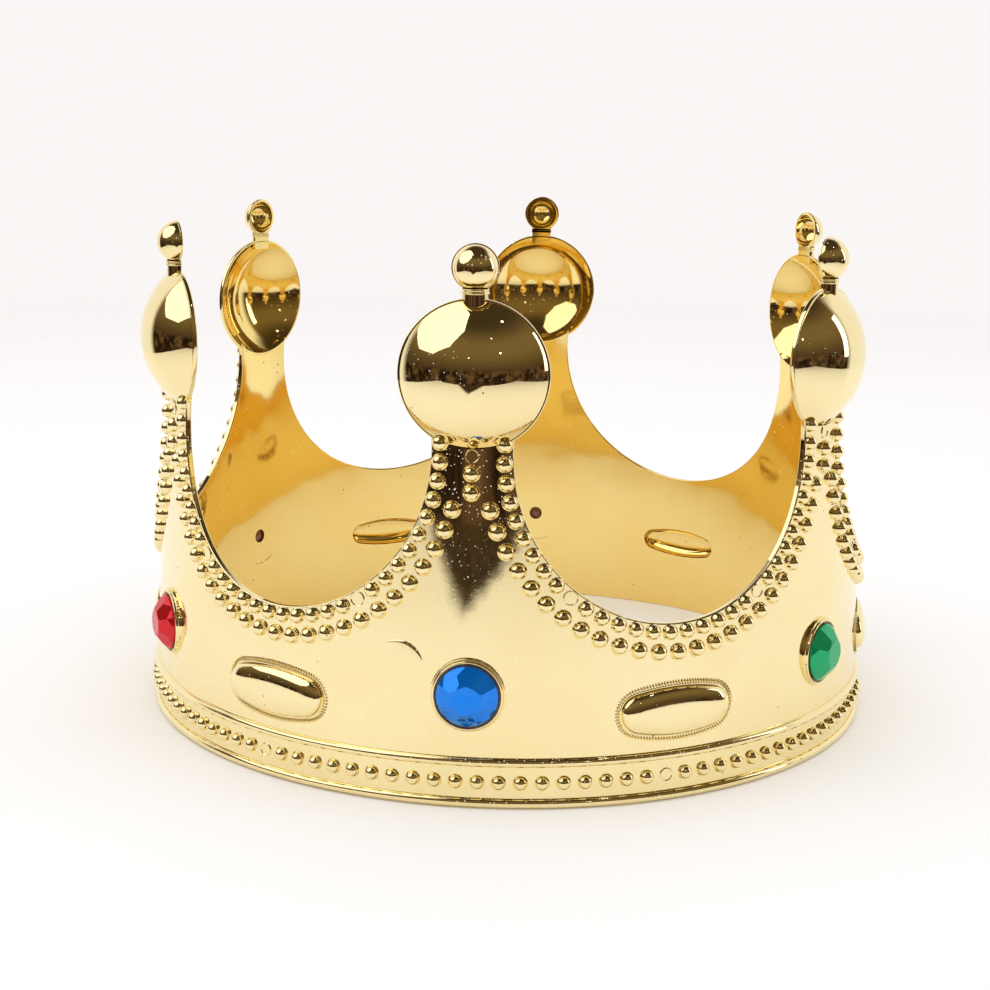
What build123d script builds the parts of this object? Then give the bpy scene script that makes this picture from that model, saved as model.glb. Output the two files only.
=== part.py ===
"""Costume king's crown: a thin moulded ring with six orb-topped tines, and six stones glued into its cups.

+Z is up and the foot stands on z = 0. The ring's axis is Z, and the front tine faces -Y.
Azimuths are in degrees from -Y, growing towards +X. All lengths are in millimetres.
"""
import os
from math import atan, atan2, cos, degrees, radians, sin, sqrt

from build123d import *

# Ring
TINES = 6
PITCH = 360 / TINES                 # azimuth from one tine to the next
FOOT_RADIUS = 97.2                  # outside of the wall at the foot
DRAFT = 0.034                       # radius lost per millimetre of height
WALL = 1.5
NECK_TOP = 87.0                     # where the tines' necks meet their medallions

# Foot band: a half-round ridge above and below the row of beads
LOWER_RIDGE_Z = 1.4
UPPER_RIDGE_Z = 11.2
RIDGE_RADIUS = 1.1
RIM_BEAD_Z = 6.3

# U-shaped gaps between the tines
GAP_CENTRE_Z = 83.0                 # centre of the round bottom
GAP_DEPTH = 40.0                    # from that centre down to the edge, and sideways along the wall
GAP_HALF_WIDTH = 38.7               # the same sideways size as a straight line

# Medallions and finials: domes with a flat lip, hollow behind
LIP_BACK = 92.7                     # distance of the lips' back plane from the axis
DISC_Z, DISC_RADIUS, DISC_DOME, DISC_BULGE, DISC_LIP, DISC_SKIN = 101.4, 17.3, 16.8, 8.3, 1.2, 0.8
SEAT_RADIUS = 16.7                  # the necks end on this circle round a medallion's middle
BALL_Z, BALL_RADIUS, BALL_DOME, BALL_BULGE, BALL_LIP, BALL_SKIN = 125.4, 5.4, 5.2, 4.6, 0.6, 0.7
STEM_RADIUS = 2.9
COLLAR_RADIUS, COLLAR_HEIGHT = 3.2, 0.9
STEM_OVERLAP = 2.0                  # how far a stem runs into its medallion
STEM_TOP = 0.6                      # how far it runs up behind the finial's lip

# Stone cups
CUP_Z = 27.2
CUP_RADIUS, CUP_BORE = 8.85, 7.75
CUP_FLOOR = 95.7                    # distance of the flat floor from the axis
CUP_HEIGHT = 1.6                    # rim above the floor
CUP_HOLE = 2.05                     # radius of the hole through the floor
CUP_ROOT = 0.7                      # the collar starts this far under the floor

# Oval bosses, halfway between the tines
BOSS_Z = 21.9
BOSS_LENGTH, BOSS_HEIGHT, BOSS_END = 28.6, 11.6, 4.7
BOSS_PROUD = 2.6                    # above the wall
BOSS_ROUND = 2.3
CORD_OUTSET, CORD_WIDTH, CORD_PROUD = 1.6, 1.1, 0.55
RECESS_INSET, RECESS_SKIN = 1.5, 1.3

# Beads: diameters and counts of the moulded rows
RIM_BEADS, RIM_BEAD_SIZE, RIM_BEAD_PHASE = 120, 3.4, -1.5
INNER_ROW, INNER_ROW_SIZE, INNER_ROW_OUTSET = 32, 3.7, 2.1
OUTER_ROW, OUTER_ROW_SIZE, OUTER_ROW_OUTSET = 25, 4.0, 6.9
INNER_ROW_STEP, OUTER_ROW_STEP = 6.06, 6.23     # angle from bead to bead about the gap's centre
INNER_BLANKS = (9, 21)              # places in a row that hold flat discs
RIM_BLANK_START = 10
NECK_BEAD_Z = (74.7, 79.1)
NECK_BLANK_Z = 83.1
NECK_BEAD_SIZE, NECK_BLANK_SIZE = 3.9, 3.3
BLANK_HEIGHT = 0.35                 # flat discs left where ejector pins pushed

# Stones: faceted all round, resting in a thin foil cone
MAINS = 8
GIRDLE_RADIUS, GIRDLE_BASE, GIRDLE_THICKNESS = 7.2, 1.6, 0.3
TABLE_HEIGHT = 4.9                  # above the cup's floor
KITE_TILT, PAIR_TILT, STAR_TILT = 38, 45, 19
PAIR_INSET = 0.05                   # the pairs cut this far into the girdle
STAR_RADIUS = 3.2                   # from the table's middle to its sides
FOIL = 0.2
CULET_RADIUS = 5.7
GLUE_HEIGHT, GLUE_INSIDE = 1.1, 5.1
STONE_NAMES = ("front", "right_front", "right_back", "back", "left_back", "left_front")


def wall_radius(z):
    """Outside radius of the drafted wall at height z."""
    return FOOT_RADIUS - DRAFT * z


def outward(azimuth):
    return (sin(radians(azimuth)), -cos(radians(azimuth)), 0)


def tangent(azimuth):
    return (cos(radians(azimuth)), sin(radians(azimuth)), 0)


def from_axis(edge):
    """Distance of an edge's middle from the ring's axis."""
    middle = edge @ 0.5
    return sqrt(middle.X**2 + middle.Y**2)


def facing(azimuth, radius, z):
    """An upright plane at that distance from the axis, looking straight out."""
    x, y, _ = outward(azimuth)
    return Plane(origin=(radius * x, radius * y, z), x_dir=tangent(azimuth), z_dir=outward(azimuth))


def on_wall(azimuth, z):
    """A plane that lies on the drafted wall, looking along its normal."""
    x, y, _ = outward(azimuth)
    radius = wall_radius(z)
    return Plane(origin=(radius * x, radius * y, z), x_dir=tangent(azimuth), z_dir=(x, y, DRAFT))


def section(z):
    """The upright plane through the axis and the front tine: x is outward and y is up from z."""
    return Plane(origin=(0, 0, z), x_dir=(0, -1, 0), z_dir=(-1, 0, 0))


def front_axis(z):
    return Axis((0, 0, z), (0, -1, 0))


def oval(length, height, end_radius):
    """Blunt-ended oval: two end arcs run tangent into two long, flatter arcs."""
    a, b, r = length / 2, height / 2, end_radius
    long_radius = ((a - r) ** 2 + b * b - r * r) / (2 * (b - r))
    lean = atan2(a - r, long_radius - b)
    side, shoulder = long_radius * sin(lean), r * cos(lean)
    with BuildSketch() as outline:
        with BuildLine():
            ThreePointArc((-side, shoulder), (0, b), (side, shoulder))
            ThreePointArc((side, shoulder), (a, 0), (side, -shoulder))
            ThreePointArc((side, -shoulder), (0, -b), (-side, -shoulder))
            ThreePointArc((-side, -shoulder), (-a, 0), (-side, shoulder))
        make_face()
    return outline.sketch


def boss_oval(outset):
    return oval(BOSS_LENGTH + 2 * outset, BOSS_HEIGHT + 2 * outset, BOSS_END + outset)


def dome_radius(foot, bulge):
    return (foot * foot + bulge * bulge) / (2 * bulge)


def dome_centre(foot, bulge, lip):
    return LIP_BACK + lip + bulge - dome_radius(foot, bulge)


def hollow_dome(lip_radius, foot, bulge, lip, skin):
    """Half section of a hollow dome with a flat lip, for a turn about the outward axis."""
    centre, outside = dome_centre(foot, bulge, lip), dome_radius(foot, bulge)
    inside = outside - skin
    front = LIP_BACK + lip

    def at(radius, angle):
        return (centre + radius * cos(angle), radius * sin(angle))

    foot_angle = atan2(foot, front - centre)
    mouth = sqrt(inside**2 - (LIP_BACK - centre) ** 2)
    mouth_angle = atan2(mouth, LIP_BACK - centre)
    with BuildSketch() as half:
        with BuildLine():
            ThreePointArc(at(outside, 0), at(outside, foot_angle / 2), (front, foot))
            Polyline((front, foot), (front, lip_radius), (LIP_BACK, lip_radius), (LIP_BACK, mouth))
            ThreePointArc((LIP_BACK, mouth), at(inside, mouth_angle / 2), at(inside, 0))
            Line(at(inside, 0), at(outside, 0))
        make_face()
    return half.sketch


# One tine's ornament: medallion, stem, collar and finial
with BuildPart() as ornament:
    with BuildSketch(section(DISC_Z)):
        add(hollow_dome(DISC_RADIUS, DISC_DOME, DISC_BULGE, DISC_LIP, DISC_SKIN))
    revolve(axis=front_axis(DISC_Z))
    with BuildSketch(section(BALL_Z)):
        add(hollow_dome(BALL_RADIUS, BALL_DOME, BALL_BULGE, BALL_LIP, BALL_SKIN))
    revolve(axis=front_axis(BALL_Z))
    with BuildSketch(Plane.XY.offset(DISC_Z + DISC_DOME - STEM_OVERLAP)):
        with Locations((0, -LIP_BACK)):
            Circle(STEM_RADIUS)
        with Locations((0, STEM_RADIUS - LIP_BACK)):
            Rectangle(4 * STEM_RADIUS, 2 * STEM_RADIUS, mode=Mode.SUBTRACT)
    extrude(amount=BALL_Z - BALL_DOME + STEM_TOP - (DISC_Z + DISC_DOME - STEM_OVERLAP))
    with BuildSketch(Plane.XY.offset(BALL_Z - BALL_RADIUS - COLLAR_HEIGHT / 2)):
        with Locations((0, -LIP_BACK)):
            Circle(COLLAR_RADIUS)
        with Locations((0, COLLAR_RADIUS - LIP_BACK)):
            Rectangle(4 * COLLAR_RADIUS, 2 * COLLAR_RADIUS, mode=Mode.SUBTRACT)
    extrude(amount=COLLAR_HEIGHT)
    with Locations((0, -dome_centre(DISC_DOME, DISC_BULGE, DISC_LIP), DISC_Z)):
        Sphere(dome_radius(DISC_DOME, DISC_BULGE) - DISC_SKIN, mode=Mode.SUBTRACT)
    with Locations((0, -dome_centre(BALL_DOME, BALL_BULGE, BALL_LIP), BALL_Z)):
        Sphere(dome_radius(BALL_DOME, BALL_BULGE) - BALL_SKIN, mode=Mode.SUBTRACT)

# One stone cup: a round collar with a half-round rim
with BuildPart() as cup:
    rim_round = (CUP_RADIUS - CUP_BORE) / 2
    with BuildSketch(section(CUP_Z)):
        with BuildLine():
            base, shoulder = CUP_FLOOR - CUP_ROOT, CUP_FLOOR + CUP_HEIGHT - rim_round
            Polyline((shoulder, CUP_BORE), (base, CUP_BORE), (base, CUP_RADIUS), (shoulder, CUP_RADIUS))
            ThreePointArc((shoulder, CUP_BORE), (shoulder + rim_round, CUP_BORE + rim_round),
                          (shoulder, CUP_RADIUS))
        make_face()
    revolve(axis=front_axis(CUP_Z))

# One boss, at the azimuth of the first gap: a crowned oval that follows the wall
boss_radius = wall_radius(BOSS_Z)
BOSS_START = 6                      # its blank starts this far inside the wall
BLANK_DEPTH = 20
TRIM_HEIGHT = 60                    # tall enough for every trimming ring
with BuildPart() as boss:
    with BuildSketch(facing(PITCH / 2, boss_radius - BOSS_START, BOSS_Z)):
        add(boss_oval(0))
    extrude(amount=BLANK_DEPTH)
    with BuildSketch(Plane.XY):
        Circle(boss_radius + BOSS_PROUD)
        Circle(boss_radius - WALL / 2, mode=Mode.SUBTRACT)
    extrude(amount=TRIM_HEIGHT, mode=Mode.INTERSECT)
    front_edges = boss.edges().filter_by(lambda edge: from_axis(edge) > boss_radius + BOSS_PROUD - 0.05)
    fillet(front_edges, BOSS_ROUND)

# Its border, a low band where the cord is laid
with BuildPart() as cord_border:
    with BuildSketch(facing(PITCH / 2, boss_radius - BOSS_START, BOSS_Z)):
        add(boss_oval(CORD_OUTSET))
        add(boss_oval(CORD_OUTSET - CORD_WIDTH), mode=Mode.SUBTRACT)
    extrude(amount=BLANK_DEPTH)
    with BuildSketch(section(0)):
        with BuildLine():
            Polyline((wall_radius(0) + CORD_PROUD, 0), (wall_radius(TRIM_HEIGHT) + CORD_PROUD, TRIM_HEIGHT),
                     (wall_radius(TRIM_HEIGHT) - WALL / 2, TRIM_HEIGHT), (wall_radius(0) - WALL / 2, 0),
                     close=True)
        make_face()
    revolve(axis=Axis.Z, mode=Mode.INTERSECT)

# What is hollow at each tine: the cup, the hole through its floor, and the recess behind the boss
HOLLOW_START = 8                    # the cutters start this far inside the wall
with BuildPart() as hollows:
    with BuildSketch(facing(0, CUP_FLOOR, CUP_Z)):
        Circle(CUP_BORE)
    extrude(amount=CUP_HEIGHT + HOLLOW_START)
    with BuildSketch(facing(0, CUP_FLOOR - HOLLOW_START, CUP_Z)):
        Circle(CUP_HOLE)
    extrude(amount=2 * HOLLOW_START)
    with BuildSketch(facing(PITCH / 2, boss_radius - HOLLOW_START, BOSS_Z)):
        add(boss_oval(-RECESS_INSET))
    extrude(amount=HOLLOW_START + BOSS_PROUD - RECESS_SKIN)

# The moulding
GAP_CUT_START, GAP_CUT = 30, 50     # the gaps' cutters start this far inside the foot and run outwards
SEAT_CUT_START, SEAT_CUT = 5, 12
with BuildPart() as crown_shell:
    with BuildSketch(section(0)):
        with BuildLine():
            Polyline((wall_radius(0), 0), (wall_radius(NECK_TOP), NECK_TOP),
                     (wall_radius(NECK_TOP) - WALL, NECK_TOP), (wall_radius(0) - WALL, 0), close=True)
        make_face()
        for z in (LOWER_RIDGE_Z, UPPER_RIDGE_Z):
            with Locations((wall_radius(z), z)):
                Circle(RIDGE_RADIUS)
    revolve(axis=Axis.Z)
    for gap in range(TINES):
        with BuildSketch(facing(PITCH * (gap + 0.5), FOOT_RADIUS - GAP_CUT_START, GAP_CENTRE_Z)):
            Ellipse(GAP_HALF_WIDTH, GAP_DEPTH)
        extrude(amount=GAP_CUT, mode=Mode.SUBTRACT)
    for tine in range(TINES):
        with BuildSketch(facing(PITCH * tine, LIP_BACK - SEAT_CUT_START, DISC_Z)):
            Circle(SEAT_RADIUS)
        extrude(amount=SEAT_CUT, mode=Mode.SUBTRACT)
    with PolarLocations(0, TINES):
        add(ornament.part)
        add(cup.part)
        add(boss.part)
        add(cord_border.part)
    with PolarLocations(0, TINES):
        add(hollows.part, mode=Mode.SUBTRACT)


# Rows of beads, and the flat discs among them


def around_gap(gap, outset, angle):
    """A plane on the wall at that distance outside a gap's edge; angle 0 is straight below its centre."""
    reach = GAP_DEPTH + outset
    z = GAP_CENTRE_Z - reach * cos(radians(angle))
    azimuth = PITCH * (gap + 0.5) + degrees(reach * sin(radians(angle)) / wall_radius(z))
    return on_wall(azimuth, z)


def row(gap, count, step, outset):
    return [around_gap(gap, outset, (i - (count - 1) / 2) * step) for i in range(count)]


rim_spots = [on_wall(RIM_BEAD_PHASE + 360 / RIM_BEADS * k, RIM_BEAD_Z) for k in range(RIM_BEADS)]
rim_blanks = rim_spots[RIM_BLANK_START::RIM_BEADS // TINES]
inner_rows = [row(gap, INNER_ROW, INNER_ROW_STEP, INNER_ROW_OUTSET) for gap in range(TINES)]
inner_blanks = [spots[i] for spots in inner_rows for i in INNER_BLANKS]
outer_rows = [row(gap, OUTER_ROW, OUTER_ROW_STEP, OUTER_ROW_OUTSET) for gap in range(TINES)]
neck_spots = [on_wall(PITCH * tine, z) for tine in range(TINES) for z in NECK_BEAD_Z]
neck_blanks = [on_wall(PITCH * tine, NECK_BLANK_Z) for tine in range(TINES)]

with BuildPart() as rim_beads:
    with Locations(*[spot for spot in rim_spots if spot not in rim_blanks]):
        Sphere(RIM_BEAD_SIZE / 2, arc_size1=0)
    with Locations(*rim_blanks):
        Cylinder(RIM_BEAD_SIZE / 2, BLANK_HEIGHT, align=(Align.CENTER, Align.CENTER, Align.MIN))

with BuildPart() as inner_row_beads:
    with Locations(*[spot for spots in inner_rows for spot in spots if spot not in inner_blanks]):
        Sphere(INNER_ROW_SIZE / 2, arc_size1=0)
    with Locations(*inner_blanks):
        Cylinder(INNER_ROW_SIZE / 2, BLANK_HEIGHT, align=(Align.CENTER, Align.CENTER, Align.MIN))

with BuildPart() as outer_row_beads:
    with Locations(*[spot for spots in outer_rows for spot in spots]):
        Sphere(OUTER_ROW_SIZE / 2, arc_size1=0)

with BuildPart() as neck_beads:
    with Locations(*neck_spots):
        Sphere(NECK_BEAD_SIZE / 2, arc_size1=0)
    with Locations(*neck_blanks):
        Cylinder(NECK_BLANK_SIZE / 2, BLANK_HEIGHT, align=(Align.CENTER, Align.CENTER, Align.MIN))


# One stone, its foil and its glue, built on the cup's floor with +Z outward


def facet(azimuth, tilt, radius, height, under=False):
    """The plane of a facet, tilted off the table, through a point at that azimuth, radius and height."""
    across = (cos(radians(azimuth)), sin(radians(azimuth)))
    lean, rise = sin(radians(tilt)), cos(radians(tilt)) * (-1 if under else 1)
    return Plane(origin=(radius * across[0], radius * across[1], height),
                 z_dir=(lean * across[0], lean * across[1], rise))


PAVILION_TILT = degrees(atan((GIRDLE_BASE - FOIL) / (GIRDLE_RADIUS - CULET_RADIUS)))
CROWN_BASE = GIRDLE_BASE + GIRDLE_THICKNESS


def pavilion(skin):
    """The facets under the stone, moved out by that much."""
    height = GIRDLE_BASE - skin / cos(radians(PAVILION_TILT))
    return [facet(360 / MAINS * k, PAVILION_TILT, GIRDLE_RADIUS, height, under=True) for k in range(MAINS)]


def crown_facets():
    """Kites, then the pairs of girdle facets between them, then the stars round the table."""
    step = 360 / MAINS
    edge = GIRDLE_RADIUS - PAIR_INSET
    kites = [facet(step * k, KITE_TILT, GIRDLE_RADIUS, CROWN_BASE) for k in range(MAINS)]
    pairs = [facet(step * (k + 0.25), PAIR_TILT, edge, CROWN_BASE) for k in range(MAINS)]
    pairs += [facet(step * (k - 0.25), PAIR_TILT, edge, CROWN_BASE) for k in range(MAINS)]
    stars = [facet(step * (k + 0.5), STAR_TILT, STAR_RADIUS, TABLE_HEIGHT) for k in range(MAINS)]
    return kites + pairs + stars


with BuildPart() as stone:
    with BuildSketch(Plane.XY.offset(FOIL)):
        Circle(GIRDLE_RADIUS)
    extrude(amount=TABLE_HEIGHT - FOIL)
    for plane in pavilion(0) + crown_facets():
        split(bisect_by=plane, keep=Keep.BOTTOM)

with BuildPart() as foil_outside:
    with BuildSketch(Plane.XY):
        Circle(GIRDLE_RADIUS)
    extrude(amount=GIRDLE_BASE)
    for plane in pavilion(FOIL):
        split(bisect_by=plane, keep=Keep.BOTTOM)

with BuildPart() as foil_cone:
    add(foil_outside.part)
    add(stone.part, mode=Mode.SUBTRACT)

with BuildPart() as glue_ring:
    with BuildSketch(Plane.XY):
        Circle(CUP_BORE)
        Circle(GLUE_INSIDE, mode=Mode.SUBTRACT)
    extrude(amount=GLUE_HEIGHT)
    add(foil_outside.part, mode=Mode.SUBTRACT)

os.makedirs("parts", exist_ok=True)

for group, label in ((crown_shell, "crown_shell"), (rim_beads, "rim_beads"),
                     (inner_row_beads, "inner_row_beads"), (outer_row_beads, "outer_row_beads"),
                     (neck_beads, "neck_beads")):
    group.part.label = label
    export_step(group.part, f"parts/{label}.step")

for tine, side in enumerate(STONE_NAMES):
    for kind, source in (("stone", stone), ("foil", foil_cone), ("glue", glue_ring)):
        with BuildPart() as placed:
            with Locations(facing(PITCH * tine, CUP_FLOOR, CUP_Z)):
                add(source.part)
        placed.part.label = f"{kind}_{side}"
        export_step(placed.part, f"parts/{kind}_{side}.step")
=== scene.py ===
"""Looks of the costume king's crown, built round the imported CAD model.

Shapes are worked out in millimetres, as in the CAD source, and become metres in add_piece().
Azimuths are in degrees from -Y, growing towards +X. Heights are above the foot.
"""

from math import atan2, cos, degrees, pi, radians, sin, sqrt

import bmesh
import bpy
import numpy as np
from mathutils import Matrix, Vector
from mathutils.geometry import delaunay_2d_cdt


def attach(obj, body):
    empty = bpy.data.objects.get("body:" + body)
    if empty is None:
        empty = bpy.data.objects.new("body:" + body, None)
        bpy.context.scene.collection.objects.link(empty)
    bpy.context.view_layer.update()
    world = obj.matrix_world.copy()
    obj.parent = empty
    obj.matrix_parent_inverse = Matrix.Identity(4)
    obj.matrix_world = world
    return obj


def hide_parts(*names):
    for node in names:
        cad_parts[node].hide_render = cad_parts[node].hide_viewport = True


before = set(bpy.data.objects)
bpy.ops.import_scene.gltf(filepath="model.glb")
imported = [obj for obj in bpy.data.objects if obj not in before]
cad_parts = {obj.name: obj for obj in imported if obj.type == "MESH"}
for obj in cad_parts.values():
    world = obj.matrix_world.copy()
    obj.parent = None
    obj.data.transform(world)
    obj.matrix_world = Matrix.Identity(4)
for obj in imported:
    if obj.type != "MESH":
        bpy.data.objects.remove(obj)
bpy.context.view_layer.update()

MM = 0.001

# Ring and wall
TINES = 6
PITCH = 360 / TINES
FOOT_RADIUS = 97.2
DRAFT = 0.034
WALL = 1.5
EDGE_ROUND = 0.35
SEAT_RADIUS = 16.7                  # the necks end on this circle behind the medallions' lips

# Foot band
RIDGES_Z = (1.4, 11.2)
RIDGE_RADIUS = 1.1
RIDGE_SINK = 0.4                    # how far the ridges' ends reach into the wall
RIM_BEAD_Z = 6.3

# Gaps between the tines
GAP_CENTRE_Z = 83.0
GAP_DEPTH = 40.0

# Medallions and finials
LIP_BACK = 92.7
DISC_Z, DISC_RADIUS, DISC_DOME, DISC_BULGE, DISC_LIP, DISC_SKIN = 101.4, 17.3, 16.8, 8.3, 1.2, 0.8
BALL_Z, BALL_RADIUS, BALL_DOME, BALL_BULGE, BALL_LIP, BALL_SKIN = 125.4, 5.4, 5.2, 4.6, 0.6, 0.7
STEM_RADIUS = 2.9
STEM_IN_DISC, STEM_IN_BALL = 2.2, 0.4
COLLARS = ((-0.45, 0.15, 0.30), (0.2, 0.75, 0.22))      # from and to above the ball's foot, and bulge

# Stone cups
CUP_Z = 27.2
CUP_RADIUS, CUP_BORE = 8.85, 7.75
CUP_FLOOR = 95.7
CUP_HEIGHT = 1.6
CUP_HOLE = 2.05
CUP_SINK = 0.9                      # the cup's outside starts this far behind its floor
RIM_ROUND, STEP_ROUND, STEP_DROP = 0.29, 0.24, 0.85
HOLE_CHAMFER = 0.2
BOSS_LAP = 0.6                      # how far the wall's outer sheet runs under a boss
CUP_LAP = 0.5                       # how far it stands off a cup's bore

# Oval bosses and their corded borders
BOSS_Z = 21.9
BOSS_LENGTH, BOSS_HEIGHT, BOSS_END = 28.6, 11.6, 4.7
BOSS_PROUD = 2.6
BOSS_FOOT = 0.35                    # the dome starts this proud of the wall
BOSS_BASE = ((0.45, -0.2), (0.45, 0.18), (0.38, 0.27), (0.12, 0.27), (0.02, 0.24))     # (outset, proud)
BOSS_SQUARE, RECESS_SQUARE, SWELL = 0.8, 0.7, 0.9       # powers that square the domes up
SIDES = 240
CORD_OUTSET, CORD_WIDTH, CORD_PROUD, CORD_PITCH = 1.6, 1.1, 0.55, 0.76
CORD_RIB, CORD_LEAN = 0.45, 0.3
CORD_POINTS, CORD_ROWS = 1200, 14
CORD_FROM, CORD_TO = -20, 200       # degrees round the cord's section
RECESS_INSET, RECESS_SKIN = 1.5, 1.3

# The crescent beside the front stone: (across from the front, height) of its ends and its bend
MARK_FROM, MARK_BEND, MARK_TO = (-20.3, 38.2), (-13.6, 40.0), (-10.8, 34.4)
MARK_THIN, MARK_WIDE, MARK_PROUD, MARK_SINK = 0.10, 1.0, 0.45, 0.01

# Beads
RIM_BEADS, RIM_BEAD_SIZE, RIM_BEAD_PHASE = 120, 3.4, -1.5
RIM_FIRST_BLANK = 10
INNER_ROW, INNER_ROW_SIZE, INNER_ROW_OUTSET = 32, 3.7, 2.1
OUTER_ROW, OUTER_ROW_SIZE, OUTER_ROW_OUTSET = 25, 4.0, 6.9
INNER_ROW_STEP, OUTER_ROW_STEP = 6.06, 6.23
INNER_BLANKS = (9, 21)
NECK_BEAD_Z = (74.7, 79.1)
NECK_BLANK_Z = 83.1
NECK_BEAD_SIZE, NECK_BLANK_SIZE = 3.9, 3.3

STONES = {"front": "blue", "right_front": "green", "right_back": "red",
          "back": "blue", "left_back": "green", "left_front": "red"}


# ---------------------------------------------------------------- shapes

def wall_radius(z):
    return FOOT_RADIUS - DRAFT * z


def on_ring(azimuth, radius, z):
    """Points at those azimuths in degrees, distances from the axis, and heights."""
    a = np.radians(azimuth)
    return np.stack(np.broadcast_arrays(radius * np.sin(a), -radius * np.cos(a), z), -1)


def on_wall(azimuth, across, up, proud):
    """Points laid on the wall: across along it from an azimuth, at height up, and proud of it."""
    r = wall_radius(up)
    return on_ring(azimuth + np.degrees(across / r), r + proud, up)


def facing(azimuth, distance, z, across, up, out):
    """Points in a flat upright frame at that azimuth, distance from the axis, and height."""
    a = radians(azimuth)
    r = distance + out
    x = r * sin(a) + across * cos(a)
    y = -r * cos(a) + across * sin(a)
    return np.stack(np.broadcast_arrays(x, y, z + up), -1)


def grid_faces(rows, columns, closed=False):
    """Quads between rows of points; closed joins each row's ends."""
    i = np.arange(rows - 1)[:, None] * columns
    j = np.arange(columns if closed else columns - 1)
    k = (j + 1) % columns
    return np.stack([i + j, i + k, i + columns + k, i + columns + j], -1).reshape(-1, 4)


def grid(points, closed=False):
    rows, columns = points.shape[:2]
    return points.reshape(-1, 3), grid_faces(rows, columns, closed)


def rounded(corners, radius):
    """An open outline of (x, y) corners whose inner corners are rounded."""
    corners = [np.array(c, float) for c in corners]
    path = [corners[0]]
    for before, corner, after in zip(corners, corners[1:], corners[2:]):
        back, on = before - corner, after - corner
        reach = min(radius, np.linalg.norm(back) * 0.48, np.linalg.norm(on) * 0.48)
        a = corner + back / np.linalg.norm(back) * reach
        b = corner + on / np.linalg.norm(on) * reach
        for t in np.linspace(0, 1, 5):
            path.append((1 - t) ** 2 * a + 2 * t * (1 - t) * corner + t * t * b)
    return np.array(path + [corners[-1]])


def arc(centre, radius, start, end, steps):
    """Points (x, y) on an arc, angles in degrees."""
    t = np.radians(np.linspace(start, end, steps))
    return np.stack([centre[0] + radius * np.cos(t), centre[1] + radius * np.sin(t)], -1)


def turned(azimuth, z, profile, segments):
    """A profile of (distance from the ring's axis, radius) points turned about the outward axis."""
    out, radius = profile[:, 0][:, None], profile[:, 1][:, None]
    t = np.linspace(0, 2 * pi, segments, endpoint=False)
    return grid(facing(azimuth, 0.0, z, radius * np.cos(t), radius * np.sin(t), out + 0 * t), closed=True)


def oval(length, height, end_radius, count):
    """Blunt-ended oval as evenly spaced points: two end arcs tangent to two long, flatter arcs."""
    a, b, r = length / 2, height / 2, end_radius
    long_radius = ((a - r) ** 2 + b * b - r * r) / (2 * (b - r))
    lean = degrees(atan2(a - r, long_radius - b))
    fine = 400
    quarter = np.concatenate([arc((a - r, 0), r, 0, 90 - lean, fine),
                              arc((0, b - long_radius), long_radius, 90 - lean, 90, fine)[1:]])
    half = np.concatenate([quarter, (quarter * (-1, 1))[::-1][1:]])
    loop = np.concatenate([half, -half[1:]])
    length_at = np.concatenate([[0], np.cumsum(np.linalg.norm(np.diff(loop, axis=0), axis=1))])
    even = np.linspace(0, length_at[-1], count, endpoint=False)
    return np.stack([np.interp(even, length_at, loop[:, i]) for i in (0, 1)], -1)


def boss_oval(outset, count):
    return oval(BOSS_LENGTH + 2 * outset, BOSS_HEIGHT + 2 * outset, BOSS_END + outset, count)


# ---------------------------------------------------------------- pieces

def add_piece(name, parts, material, sharp_angle=38, normals=None):
    """One mesh from parts of (points in mm, faces), riding on the crown's only body."""
    points, faces, start = [], [], 0
    for part_points, part_faces in parts:
        points.append(part_points)
        faces += (np.asarray(part_faces) + start).tolist()
        start += len(part_points)
    mesh = bpy.data.meshes.new(name)
    mesh.from_pydata((np.concatenate(points) * MM).tolist(), [], faces)
    piece = bpy.data.objects.new(name, mesh)
    bpy.context.scene.collection.objects.link(piece)
    if normals is None:
        bm = bmesh.new()
        bm.from_mesh(mesh)
        bmesh.ops.remove_doubles(bm, verts=bm.verts, dist=1e-7)
        bmesh.ops.dissolve_degenerate(bm, edges=bm.edges, dist=1e-8)
        bmesh.ops.recalc_face_normals(bm, faces=bm.faces)
        bm.to_mesh(mesh)
        bm.free()
    mesh.shade_smooth()
    if normals is None:
        mesh.set_sharp_from_angle(angle=radians(sharp_angle))
    else:
        mesh.normals_split_custom_set_from_vertices(np.concatenate(normals).tolist())
    mesh.materials.append(material)
    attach(piece, "root")
    return piece


def plate_inside(piece):
    """Gives the faces that look at the ring's axis the inside's deeper gold."""
    piece.data.materials.append(gold_inside)
    for face in piece.data.polygons:
        x, y, _ = face.center
        if x * face.normal.x + y * face.normal.y < -0.5 * sqrt(x * x + y * y):
            face.material_index = 1


def facing_along(points, faces, normals):
    """The faces, turned over where they face against their corners' normals."""
    corner = points[faces[:, :3]]
    across = np.cross(corner[:, 1] - corner[:, 0], corner[:, 2] - corner[:, 0])
    against = np.einsum("ij,ij->i", across, normals[faces[:, 0]]) < 0
    faces = faces.copy()
    faces[against] = faces[against][:, ::-1]
    return faces


# ---------------------------------------------------------------- materials

def node_tree(material):
    material.use_nodes = True
    tree = material.node_tree
    tree.nodes.clear()
    return tree


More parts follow.
